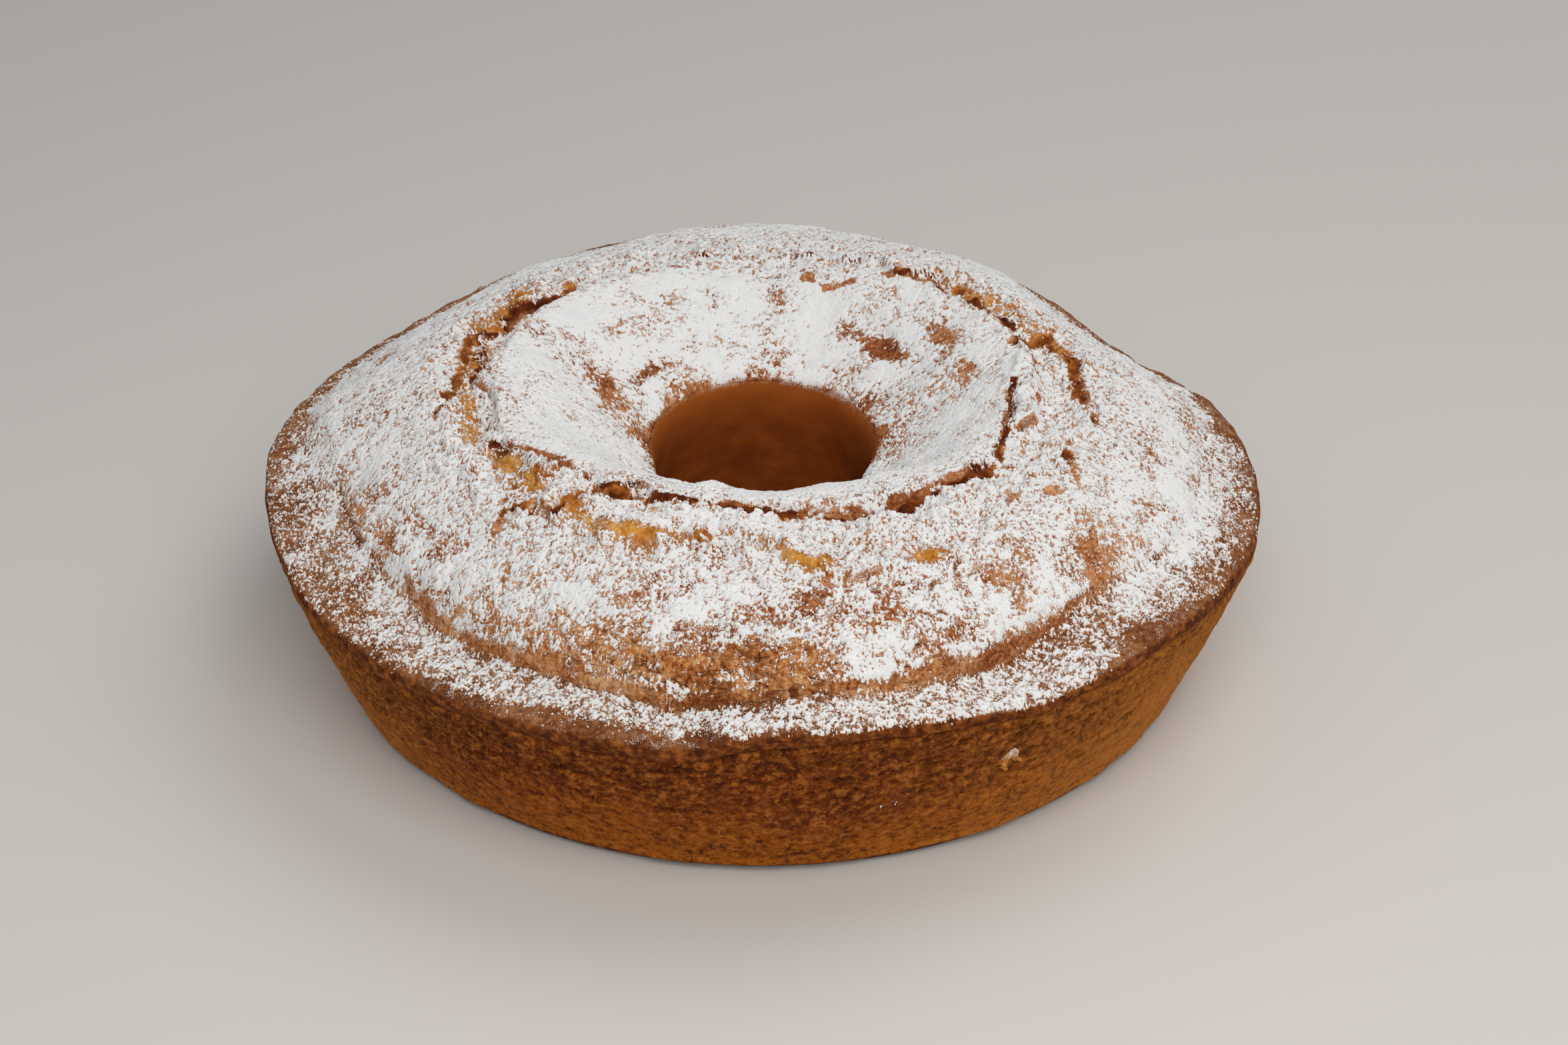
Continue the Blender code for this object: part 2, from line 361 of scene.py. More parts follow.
def build_top_skin():
    """Browned top skin: darker on the lip, lighter where it is crinkled, with painted shade darkening its
    creases, thin folds, wrinkle lines and pinholes.
    """
    tree, given, result = shared_effect(
        "top_skin", [("Crinkled", "Float"), ("Lip", "Float"), ("Crease", "Float")],
        [("Colour", "Color"), ("Relief", "Float")],
    )
    where = place_of(tree)
    fine = mottle(tree, where, 0.00055, 4.0, 0.7)
    freckle = mottle(tree, where, 0.0022, 4.0, 0.62)
    cloud = mottle(tree, where, 0.012, 3.0)
    tone = spread(tree, fine, 0.32, 0.68, 0.0, 0.7)
    tone = plus(tree, tone, spread(tree, freckle, 0.32, 0.68, 0.0, 0.5))
    tone = plus(tree, tone, spread(tree, cloud, 0.3, 0.7, -0.4, 0.3))
    dome = shades(tree, tone, [
        (0.0, 110, 52, 24), (0.35, 152, 86, 46), (0.65, 182, 117, 73), (1.0, 214, 160, 114),
    ])
    tan = shades(tree, tone, [
        (0.0, 108, 52, 18), (0.35, 162, 94, 46), (0.65, 200, 136, 80), (1.0, 230, 182, 130),
    ])
    lip = shades(tree, tone, [
        (0.0, 94, 48, 22), (0.5, 132, 79, 43), (1.0, 166, 113, 72),
    ])
    skin = mixed(tree, given["Crinkled"], dome, tan)
    skin = mixed(tree, given["Lip"], skin, lip)
    thin = folds(tree, place_of(tree, (0.6, 1.0, 1.0)), 0.0042)
    # Painted shade: dark lines in the thin folds, which also sink in the relief below.
    dark_thin = times(tree, thin, spread(tree, freckle, 0.46, 0.60))
    skin = mixed(tree, times(tree, dark_thin, 0.55), skin, (104, 46, 14))
    line, puff = wrinkles(tree, where)
    # Painted shade: the wrinkle lines are painted dark where they sink in.
    dark_line = times(tree, times(tree, line, given["Crinkled"]), 0.9)
    skin = mixed(tree, dark_line, skin, (92, 40, 12))
    # Painted shade: pinholes painted dark, as shade inside them.
    pore = plus(tree, pits(tree, where, 0.0026), spread(tree, fine, 0.3, 0.7, -0.08, 0.08))
    skin = mixed(tree, spread(tree, pore, 0.13, 0.08, 0.0, 0.8), skin, (78, 32, 10))
    # Painted shade: the creases are painted darker, as shade falls in them.
    crease = spread(tree, given["Crease"], 0.15, 0.9, 0.0, 0.7)
    tree.links.new(mixed(tree, crease, skin, (96, 42, 12)), result["Colour"])

    # Fine wrinkles, thin folds, pinholes and small pits
    relief = times(tree, thin, -0.5)
    relief = plus(tree, mottle(tree, where, 0.0006, 5.0, 0.68), relief)
    relief = plus(tree, relief, spread(tree, pits(tree, where, 0.0030), 0.04, 0.14, -0.7, 0.0))
    pushed = worked(tree, "SUBTRACT", times(tree, puff, 2.4), line)
    relief = plus(tree, relief, times(tree, pushed, given["Crinkled"]))
    small = spread(tree, pits(tree, where, 0.0011), 0.0, 0.35, 0.0, 0.35)
    tree.links.new(plus(tree, relief, small), result["Relief"])
    return tree


top_skin = build_top_skin()


def skinned(tree):
    """The top skin, told by the piece's own points where it is crinkled, lip, or creased and painted dark
    with shade there.
    """
    skin = placed(
        tree, top_skin, Crinkled=kept(tree, "crinkled"), Lip=kept(tree, "lip"), Crease=kept(tree, "crease"),
    )
    return skin["Colour"], skin["Relief"]


def build_sugar_dust():
    """Specks of sugar dust, finer than the drifts, gathered in loose clouds over a colour."""
    tree, given, result = shared_effect(
        "sugar_dust", [("Under", "Color"), ("Cover", "Float"), ("Amount", "Float")], [("Colour", "Color")],
    )
    where = place_of(tree)
    grain = mottle(tree, where, 0.00014, 2.0, 0.7)
    cloud = mottle(tree, where, 0.0016, 3.0, 0.6)
    level = plus(tree, grain, times(tree, cloud, 0.7))
    level = plus(tree, level, times(tree, given["Cover"], given["Amount"]))
    speckled = mixed(tree, spread(tree, level, 1.14, 1.19), given["Under"], (232, 222, 212))
    tree.links.new(speckled, result["Colour"])
    return tree


sugar_dust = build_sugar_dust()


def dusted(tree, base, amount):
    return placed(tree, sugar_dust, Under=base, Cover=kept(tree, "dust"), Amount=amount)["Colour"]


def crust_finish():
    finish, tree, shader = new_finish("browned_crust", 0.8, 0.12)
    skin, relief = skinned(tree)
    inside = shades(tree, mottle(tree, place_of(tree, (1.0, 1.0, 1.6)), 0.005, 5.0, 0.6), [
        (0.3, 108, 48, 9), (0.7, 142, 70, 17),
    ])
    height = new_node(tree, "SeparateXYZ", Vector=place_of(tree)).outputs["Z"]
    # Painted light: the hole's wall is painted lighter towards its top, where more light falls in.
    inside = mixed(tree, spread(tree, height, 0.038, 0.054, 0.0, 0.8), inside, (166, 88, 30))
    under = shades(tree, mottle(tree, place_of(tree, (1.0, 1.0, 1.15)), 0.0011, 3.0, 0.6), [
        (0.38, 80, 34, 8), (0.50, 112, 56, 18), (0.64, 152, 86, 36),
    ])
    base = mixed(tree, kept(tree, "top"), under, dusted(tree, skin, 0.30))
    base = mixed(tree, kept(tree, "hole"), base, inside)
    tree.links.new(base, shader.inputs["Base Color"])
    outside = spread(tree, kept(tree, "hole"), 0.0, 0.3, 1.0, 0.0)
    roughen(tree, shader, times(tree, relief, outside), 0.0007, 1.0)
    return finish


crust.data.materials.append(crust_finish())


# ----------------------------------------------------------------------
# Baked side
# The wall that baked against the tin. Its skin is thin and open: pores drawn out sideways
# under the lip, painted dark with shade, a darker belt below them, and finer, more golden sponge
# down to the foot, where it is also painted lighter with painted light thrown up from the floor.
# It is one upright line, spun round the cake.
# ----------------------------------------------------------------------

FOOT_RADIUS = 0.1162
FOOT_ROUNDING = 0.004
WALL_BELLY = 0.0012
SIDE_BOTTOM = 0.0012              # its lower edge stays this far above the floor
SIDE_ROWS = 70
SIDE_COLUMNS = 1300


def spun_sheet(name, along, rows, columns):
    """A line of points, one metre out from the upright axis, spun once round it."""
    bpy.ops.object.select_all(action="DESELECT")
    bpy.ops.mesh.primitive_plane_add(size=1.0)
    sheet = bpy.context.object
    sheet.name = name
    bpy.ops.object.mode_set(mode="EDIT")
    bpy.ops.mesh.select_all(action="SELECT")
    bpy.ops.mesh.merge(type="CENTER")
    bpy.ops.transform.translate(value=(1.0, 0.0, 0.0))
    bpy.ops.mesh.extrude_region_move(TRANSFORM_OT_translate={"value": along})
    bpy.ops.mesh.select_all(action="SELECT")
    bpy.ops.mesh.subdivide(number_cuts=rows - 1)
    bpy.ops.object.mode_set(mode="OBJECT")
    turning = sheet.modifiers.new("turning", "SCREW")
    turning.angle = 2.0 * math.pi
    turning.steps = columns
    turning.render_steps = columns
    turning.use_merge_vertices = True
    turning.merge_threshold = 0.0001
    bpy.ops.object.modifier_apply(modifier="turning")
    return sheet


def smooth_and_turn_outwards(piece):
    pick_only(piece)
    bpy.ops.object.mode_set(mode="EDIT")
    bpy.ops.mesh.select_all(action="SELECT")
    bpy.ops.mesh.normals_make_consistent(inside=False)
    bpy.ops.object.mode_set(mode="OBJECT")
    bpy.ops.object.shade_smooth()


side = spun_sheet("baked_side", (0.0, 0.0, 1.0), SIDE_ROWS, SIDE_COLUMNS)
points = read_points(side)
turn = np.arctan2(points[:, 1], points[:, 0])
angle = np.degrees(turn)
up = points[:, 2]
lip = lip_radius(angle)
top = lip_height(angle) - 0.10 * LIP_ROUNDING
height = SIDE_BOTTOM + (top - SIDE_BOTTOM) * up
rise = (height - FOOT_ROUNDING) / (lip_height(angle) - LIP_ROUNDING - FOOT_ROUNDING)
rise = np.clip(rise, 0.0, 1.0)
radius = FOOT_RADIUS + (lip - 0.2 * LIP_ROUNDING - FOOT_RADIUS) * rise
radius += WALL_BELLY * np.sin(math.pi * rise) * (1.0 - rise)
under = np.clip(1.0 - height / FOOT_ROUNDING, 0.0, 1.0)
radius -= FOOT_ROUNDING * (1.0 - np.sqrt(1.0 - under ** 2))
flat = np.column_stack([radius * np.cos(turn), radius * np.sin(turn), height])

drawn = flat * np.array([1.0, 1.0, 1.7])
coarse = step(0.35, 0.75, rise + 0.35 * lumps(flat, 0.012, 2, 2.0))
relief = 0.0010 * lumps(flat, 0.028)
relief += 0.0005 * lumps(drawn, 0.009, 2, 3.0) * (0.4 + 0.6 * coarse)
relief += 0.0002 * lumps(drawn, 0.0030, 2, 5.0)
# The pores sink into the side; its finish also paints them dark as painted shade.
pore = step(0.26, 0.42, lumps(drawn, 0.0030, 2, 13.0)) * coarse
small_pore = step(0.24, 0.40, lumps(drawn, 0.0015, 2, 17.0)) * (0.25 + 0.75 * coarse)
relief -= 0.0006 * pore + 0.0004 * small_pore
lip_skin = 0.966 - 0.040 * near(angle, *TONGUE)
upper_end = step(lip_skin + 0.026, lip_skin, up + 0.07 * lumps(flat, 0.005, 2, 19.0))
ends = step(0.0, 0.02, up) * upper_end
push = relief * ends - 0.0014 * (1.0 - ends)
points = flat.copy()
points[:, 0] += push * np.cos(turn) + CAKE_MIDDLE[0]
points[:, 1] += push * np.sin(turn) + CAKE_MIDDLE[1]
write_points(side, points)
# Painted light: the side is painted paler where it turns sideways at the front right and front left, most
# near the foot.
pale = (near(angle, -32.0, 26.0) + 0.8 * near(angle, -158.0, 20.0)) * (1.2 - 0.6 * rise)
store(side, rise=rise, pale=pale, pore=np.maximum(pore, 0.7 * small_pore))
smooth_and_turn_outwards(side)


def side_finish():
    finish, tree, shader = new_finish("open_side_crust", 0.85, 0.1)
    where = place_of(tree)
    drawn = place_of(tree, (1.0, 1.0, 1.5))
    wander = spread(tree, mottle(tree, drawn, 0.016, 4.0), 0.3, 0.7, -0.2, 0.2)
    belt = plus(tree, kept(tree, "rise"), wander)
    # The side's browning, darker in a belt under the lip and more golden down to the foot, where it is also
    # painted lighter with painted light thrown up from the floor.
    band = shades(tree, belt, [
        (0.02, 184, 100, 22), (0.30, 168, 88, 18), (0.50, 140, 66, 14),
        (0.74, 130, 60, 14), (0.95, 130, 64, 18),
    ])
    # Painted light on the paler stretches of the side.
    band = mixed(tree, times(tree, kept(tree, "pale"), 0.75), band, (228, 148, 62))
    grainy = mottle(tree, where, 0.0006, 5.0, 0.78)
    blotch = mottle(tree, drawn, 0.0040, 3.0, 0.6)
    speck = mottle(tree, where, 0.0003, 3.0, 0.7)
    tone = times(tree, grainy, 0.7)
    tone = plus(tree, tone, times(tree, blotch, 0.3))
    dark = mixed(tree, spread(tree, tone, 0.50, 0.38, 0.0, 0.95), band, (66, 25, 5))
    light = mixed(tree, spread(tree, tone, 0.52, 0.68, 0.0, 0.8), dark, (190, 112, 40))
    light = mixed(tree, spread(tree, speck, 0.60, 0.70, 0.0, 0.5), light, (204, 138, 72))
    # Painted shade: the pores are painted dark.
    base = mixed(tree, spread(tree, kept(tree, "pore"), 0.1, 0.9, 0.0, 0.6), light, (66, 26, 5))
    sponge = mottle(tree, place_of(tree, (1.0, 1.0, 1.15)), 0.0011, 3.0, 0.6)
    base = mixed(tree, spread(tree, sponge, 0.47, 0.35, 0.0, 0.65), base, (72, 28, 6))
    base = mixed(tree, spread(tree, sponge, 0.53, 0.65, 0.0, 0.6), base, (204, 126, 54))
    # More of the painted light on the paler stretches of the side.
    base = mixed(tree, times(tree, kept(tree, "pale"), 0.38), base, (200, 122, 50))
    tree.links.new(base, shader.inputs["Base Color"])
    relief = times(tree, grainy, 1.2)
    relief = plus(tree, relief, times(tree, speck, 0.6))
    relief = plus(tree, relief, times(tree, sponge, 1.8))
    roughen(tree, shader, relief, 0.0006, 0.9)
    return finish


side.data.materials.append(side_finish())
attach(side, "root")
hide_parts("cake")


# ----------------------------------------------------------------------
# Torn crumb
# A ring of soft golden sponge where the rising dome tore its crust open. Its inner edge is a
# low ragged cliff of crust, painted dark red-brown with shade, as the open cracks are. It is a
# flat spun ring, laid on the crust and roughened.
# ----------------------------------------------------------------------

TEAR_RADIUS = 0.0865
CRACK_RADIUS = 0.0718
TEAR_SWELLS = [(-76, 15, 0.0125), (-114, 14, 0.0040), (5, 30, -0.0020), (90, 40, -0.0050)]
CRACK_SWELLS = [
    (-71, 12, 0.0040), (-108, 16, -0.0015), (-10, 22, -0.0060), (-150, 14, 0.0030),
    (164, 22, 0.0050), (60, 16, -0.0030), (90, 30, 0.0020),
]
SLAB_RADIUS = 0.0825              # outer edge of the lifted slab of crumb in front
SLAB_SWELLS = [(-113, 9, 0.0046), (-82, 6, 0.0125), (-66, 5, 0.0100)]
CRUMB_MARGIN = 0.0050             # how far the ring reaches past the crack and past the tear
HELD_ABOVE = 0.12                 # where a flat piece waits before it is laid on the cake
SUNK = 0.0030                     # how far the crust lies lower where a laid piece covers it
CRUMB_ROWS = 56
CRUMB_COLUMNS = 1240

# Where gold shows best: angle, distance out, half widths in degrees and metres, strength
GOLDEN_PLACES = [
    (176, 0.0755, 10, 0.0040, 0.6),
    (-168, 0.0775, 5, 0.0030, 0.5),
    (-158, 0.0785, 4, 0.0026, 0.6),
    (-144, 0.0782, 5, 0.0024, 0.9),
    (-134, 0.0795, 3, 0.0024, 0.8),
    (-67, 0.0932, 3, 0.0022, 0.9),
    (152, 0.0810, 10, 0.0035, 0.6),
    (20, 0.0780, 12, 0.0035, 0.25),
    (38, 0.0740, 12, 0.0050, 0.4),
]

# The open cracks, as routes seen from above: half width, how open, places
OPEN_CRACKS = [
    (0.0013, 1.0, [(-0.066, -0.038), (-0.058, -0.043), (-0.052, -0.0445), (-0.047, -0.052),
                   (-0.042, -0.058)]),
    (0.0010, 0.9, [(-0.0485, -0.0720), (-0.046, -0.067), (-0.0425, -0.0665)]),
    (0.0009, 0.8, [(-0.0395, -0.0625), (-0.033, -0.0655)]),
    (0.0008, 0.7, [(-0.063, -0.070), (-0.061, -0.0625), (-0.054, -0.0675)]),
    (0.0010, 0.8, [(-0.033, -0.065), (-0.0295, -0.0645), (-0.0225, -0.068), (-0.0145, -0.0705),
                   (-0.0075, -0.070)]),
    (0.0014, 0.9, [(-0.0075, -0.070), (-0.002, -0.073), (0.0045, -0.0738), (0.010, -0.072),
                   (0.0165, -0.0725)]),
    (0.0019, 1.1, [(0.0165, -0.0725), (0.0225, -0.073), (0.028, -0.071), (0.034, -0.0667)]),
    (0.0014, 0.9, [(0.034, -0.0667), (0.0405, -0.062), (0.0448, -0.0578), (0.051, -0.0516),
                   (0.056, -0.046)]),
    (0.0010, 0.7, [(0.0645, -0.008), (0.0623, -0.021), (0.0605, -0.031), (0.058, -0.042)]),
    (0.0009, 0.7, [(0.075, -0.040), (0.076, -0.050)]),
    (0.0009, 0.7, [(0.068, -0.0575), (0.073, -0.055)]),
    (0.0012, 0.6, [(-0.082, -0.0195), (-0.079, -0.006), (-0.0785, 0.010), (-0.077, 0.022)]),
    (0.0018, 0.65, [(-0.077, 0.022), (-0.0695, 0.0295), (-0.067, 0.038), (-0.060, 0.042),
                    (-0.053, 0.055)]),
    (0.0012, 0.6, [(0.035, 0.058), (0.043, 0.0535), (0.050, 0.052)]),
    (0.0013, 0.65, [(0.056, 0.052), (0.063, 0.0315), (0.068, 0.025)]),
    (0.0013, 0.65, [(0.067, 0.015), (0.077, 0.021), (0.082, 0.006), (0.0815, -0.016), (0.084, -0.023)]),
    (0.0009, 0.7, [(0.013, 0.060), (0.018, 0.056), (0.026, 0.057)]),
]


def away_from(route, points):
    """Distance in plan from each point to a route of straight legs."""
    nearest = np.full(len(points), 1.0)
    for start, end in zip(route[:-1], route[1:]):
        leg = np.subtract(end, start)
        offset = points[:, :2] - np.array(start)
        along = np.clip(offset @ leg / (leg @ leg), 0.0, 1.0)
        gap = offset - along[:, None] * leg
        nearest = np.minimum(nearest, np.hypot(gap[:, 0], gap[:, 1]))
    return nearest


def cracked(points):
    """How open the crust is at each point, 0 away from every crack."""
    share = np.zeros(len(points))
    wander = 0.0014 * lumps(points, 0.008, 3, 21.0) + 0.0010 * lumps(points, 0.0022, 2, 22.0)
    for width, opened, route in OPEN_CRACKS:
        away = away_from(route, points) + wander
        share = np.maximum(share, opened * step(width * 1.6, width * 0.4, away))
    return share


def tear_radius(angle):
    wander = sway(angle, [(5, 0.0009, 10), (8, 0.0010, 35), (13, 0.0008, 0)])
    return TEAR_RADIUS + swelled(angle, TEAR_SWELLS) + wander


def crack_radius(angle):
    wander = sway(angle, [(5, 0.0005, 80), (9, 0.0006, 20), (14, 0.0005, 0)])
    return CRACK_RADIUS + swelled(angle, CRACK_SWELLS) + wander


def beyond_slab(points):
    """Distance outwards from the ragged edge of the lifted slab in front."""
    angle, radius = polar(points)
    edge = SLAB_RADIUS + swelled(angle, SLAB_SWELLS)
    return radius - edge - 0.0022 * lumps(points, 0.009, 3, 24.0)


def golden(points):
    """How golden the crumb is at each point, from 0 to 1."""
    angle, radius = polar(points)
    total = sum(strong * near(angle, place, turn) * np.exp(-((radius - out) / wide) ** 2)
                for place, out, turn, wide, strong in GOLDEN_PLACES)
    broken_edge = near(angle, -111.0, 14.0) + near(angle, -84.0, 5.0)
    broken_edge *= np.exp(-((beyond_slab(points) - 0.0005) / 0.0018) ** 2)
    return np.clip(total + broken_edge, 0.0, 1.0)


def round_middle(turn, radius, height):
    """Points at an angle in radians, a distance out and a height, around the cake's middle."""
    east = CAKE_MIDDLE[0] + radius * np.cos(turn)
    north = CAKE_MIDDLE[1] + radius * np.sin(turn)
    return np.column_stack([east, north, np.broadcast_to(height, east.shape)])


def lay_on(piece, ground):
    """Drops a flat piece straight down onto another."""
    pick_only(piece)
    laying = piece.modifiers.new("laying", "SHRINKWRAP")
    laying.target = ground
    laying.wrap_method = "PROJECT"
    laying.use_project_z = True
    laying.use_negative_direction = True
    laying.use_positive_direction = False
    bpy.ops.object.modifier_apply(modifier="laying")


crumb = spun_sheet("torn_crumb", (1.0, 0.0, 0.0), CRUMB_ROWS, CRUMB_COLUMNS)
points = read_points(crumb)
turn = np.arctan2(points[:, 1], points[:, 0])
angle = np.degrees(turn)
share = np.hypot(points[:, 0], points[:, 1]) - 1.0
inner = crack_radius(angle) - CRUMB_MARGIN
outer = tear_radius(angle) + CRUMB_MARGIN
radius = inner + (outer - inner) * share
write_points(crumb, round_middle(turn, radius, HELD_ABOVE))
lay_on(crumb, crust)

points = read_points(crumb)
torn = step(-0.0012, 0.0006, radius - crack_radius(angle))
torn *= step(0.0010, -0.0014, radius - tear_radius(angle))
edge = step(0.0, 0.0025, np.minimum(radius - inner, outer - radius))
# The groove fills with uneven lumps of crumb; its edges wander and crumble
fill = 0.0016 + 0.0026 * lumps(points, 0.011, 2, 23.0)
slab = near(angle, -98.0, 34.0) * step(0.0, 0.0010, radius - crack_radius(angle))
slab *= step(0.0011, -0.0011, beyond_slab(points))
fill += 0.0024 * slab
rough = 0.0014 * lumps(points, 0.0038, 2, 25.0) + 0.0005 * lumps(points, 0.0014, 2, 27.0)
ragged = 0.0040 * lumps(points, 0.0100, 2, 29.0) + 0.0009 * lumps(points, 0.0030, 1, 37.0)
points[:, 2] += (fill + rough) * torn + 0.0003 * lumps(points, 0.0024, 2, 33.0) * edge
opened = cracked(points)
points[:, 2] += 0.00008 - 0.0005 * (1.0 - edge) - 0.0012 * opened * edge
points[:, 0] += ragged * edge * np.cos(turn)
points[:, 1] += ragged * edge * np.sin(turn)
write_points(crumb, points)
# Painted shade: a band along the cliff, painted dark red-brown in the crumb's finish.
cliff = np.exp(-((radius - crack_radius(angle) - 0.0002) / 0.0012) ** 2)
whole = (1.0 - cliff) * np.clip(1.0 - opened, 0.0, 1.0)
# The open cracks go in as creases, which the finish paints dark with shade.
store(
    crumb, torn=torn, cliff=cliff, golden=golden(points) * (0.35 + 0.65 * torn) * whole,
    crinkled=crinkled(points), lip=0.0, crease=opened,
)
smooth_and_turn_outwards(crumb)
if read_points(crumb, "normal")[:, 2].mean() < 0.0:
    crumb.data.flip_normals()

# The crust lies lower where the crumb covers it
points = read_points(crust)
angle, radius = polar(points)
inwards = np.minimum(radius - crack_radius(angle), tear_radius(angle) - radius)
covered = step(0.0, 0.003, inwards + CRUMB_MARGIN - 0.0025)
points[:, 2] -= SUNK * covered * on_top
write_points(crust, points)


def crumb_finish():
    finish, tree, shader = new_finish("golden_crumb", 0.85, 0.12)
    where = place_of(tree)
    skin, relief = skinned(tree)
    grain = mottle(tree, where, 0.0011, 4.0, 0.6)
    cloud = mottle(tree, where, 0.008, 2.0)
    tone = plus(tree, spread(tree, grain, 0.3, 0.7), spread(tree, cloud, 0.3, 0.7, -0.2, 0.2))
    gold = shades(tree, tone, [
        (0.0, 178, 104, 30), (0.45, 212, 148, 62), (1.0, 230, 186, 112),
    ])
    brown = shades(tree, tone, [
        (0.0, 128, 60, 18), (0.5, 172, 98, 38), (1.0, 208, 144, 78),
    ])
    red_brown = shades(tree, tone, [
        (0.0, 60, 20, 4), (0.5, 98, 40, 8), (1.0, 138, 68, 22),
    ])
    base = mixed(tree, kept(tree, "torn"), skin, brown)
    base = mixed(tree, kept(tree, "golden"), base, gold)
    # Painted shade: the cliff and the open cracks are painted dark red-brown.
    deep = worked(tree, "MAXIMUM", kept(tree, "cliff"), kept(tree, "crease"))
    base = mixed(tree, spread(tree, deep, 0.25, 0.8), base, red_brown)
    tree.links.new(dusted(tree, base, 0.30), shader.inputs["Base Color"])
    roughen(tree, shader, plus(tree, grain, relief), 0.0006, 0.9)
    return finish


crumb.data.materials.append(crumb_finish())
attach(crumb, "root")


# ----------------------------------------------------------------------
# Front skin
# The strip of skin that rides over the fold in front. It was pushed together there as the dome
# rose, and lies in small creases, painted dark with shade, and puffs. It is a grid bent round the
# fold and laid on.
# ----------------------------------------------------------------------

FRONT_MIDDLE = -93.0
FRONT_WIDTH = 116.0               # degrees
FRONT_BEHIND = 0.0150             # how far it reaches inwards of the fold
FRONT_BEYOND = 0.0022             # and outwards
FRONT_ROWS = 42
FRONT_COLUMNS = 620

bpy.ops.object.select_all(action="DESELECT")
bpy.ops.mesh.primitive_grid_add(x_subdivisions=FRONT_COLUMNS, y_subdivisions=FRONT_ROWS, size=1.0)
front_skin = bpy.context.object
front_skin.name = "front_skin"
points = read_points(front_skin)
angle = FRONT_MIDDLE + FRONT_WIDTH * points[:, 0]
share = points[:, 1] + 0.5
turn = np.radians(angle)
fold = fold_radius(angle)
radius = fold - FRONT_BEHIND + (FRONT_BEHIND + FRONT_BEYOND) * share
write_points(front_skin, round_middle(turn, radius, HELD_ABOVE))
lay_on(front_skin, crust)
bpy.ops.object.shade_smooth()

points = read_points(front_skin)
facing = read_points(front_skin, "normal")
facing *= np.sign(facing[:, 2])[:, None]
behind = fold - radius
ends = step(0.0, 0.06, 0.5 - np.abs((angle - FRONT_MIDDLE) / FRONT_WIDTH))
inside = np.minimum(step(0.0, 0.10, share), step(1.0, 0.90, share)) * ends
pushed = near(angle, *CRINKLED_FRONT) * np.exp(-((behind - 0.0045) / 0.0055) ** 2)
pushed = np.maximum(pushed, 0.22) * inside
wavy = behind + 0.0030 * lumps(points, 0.012, 2, 91.0)
along = np.column_stack([turn * fold / 3.2, wavy, np.zeros(len(turn))])
ridge = lumps(along, 0.0034, 2, 93.0)
# The creases sink in, and the top skin paints them darker as painted shade.
crease = np.exp(-(ridge / 0.035) ** 2) * step(-0.05, 0.15, lumps(points, 0.007, 2, 95.0))
puffs = 0.0012 * lumps(points, 0.0062, 2, 97.0) + 0.0004 * lumps(points, 0.0020, 2, 99.0)
push = (0.0024 * np.abs(ridge) + puffs - 0.0006 * crease) * pushed
push += 0.00018 * inside - 0.0006 * (1.0 - inside)
points += facing * push[:, None]
write_points(front_skin, points)
store(
    front_skin, top=1.0, hole=0.0, lip=step(-0.0005, 0.0015, radius - fold),
    crinkled=crinkled(points), crease=crease * pushed,
)

# The crust lies lower where the strip covers it
points = read_points(crust)
angle, radius = polar(points)
behind = fold_radius(angle) - radius
sideways = np.radians(0.5 * FRONT_WIDTH - np.abs(angle - FRONT_MIDDLE)) * radius
inwards = np.minimum(np.minimum(FRONT_BEHIND - behind, FRONT_BEYOND + behind), sideways)
covered = step(0.0015, 0.0045, inwards)
points[:, 2] -= SUNK * covered * on_top
write_points(crust, points)

front_skin.data.materials.append(crust.data.materials[0])
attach(front_skin, "root")


# ----------------------------------------------------------------------
# Icing sugar
# Sifted over the cake from above. It lies in crumbly drifts that follow the crust, thick in
# the funnel and thin on steep places. A fine grid is dropped onto the cake, lifted by the
# drift's depth, and cut away where none lies.
# ----------------------------------------------------------------------

SUGAR_CELLS = [(-1.0, 0.00030), (1.0, 0.00052)]      # of the grid over the front and back half
CELL_DEPTH = 0.85                 # the cells are shorter from front to back
SUGAR_DEPTH = 0.0007
CREST_RADIUS = 0.066
STEEPEST = 2.8                    # the slope that sugar still holds to, as rise over run
STEEPEST_NEAR_HOLE = 1.3
GRAINS = 16000
FLECK_GRAINS = 16

# Flecks on the side: angle, distance out, height
FLECKS = [(-78.4, 0.1238, 0.0276), (-76.6, 0.1228, 0.0238), (-78.0, 0.1226, 0.0230)]

# Shares of the crust that sugar covers
DOME_FRONT_COVER = 0.73
DOME_BACK_MORE = 0.09
DOME_TOP_COVER = 0.78
FUNNEL_COVER = 0.97
FRONT_LEDGE_COVER = 0.70
BACK_LEDGE_COVER = 0.84           # at the fold, thinner towards the lip
LIP_DUST = 0.45
BARE_EDGE = 0.0022                # the lip's bare brown edge

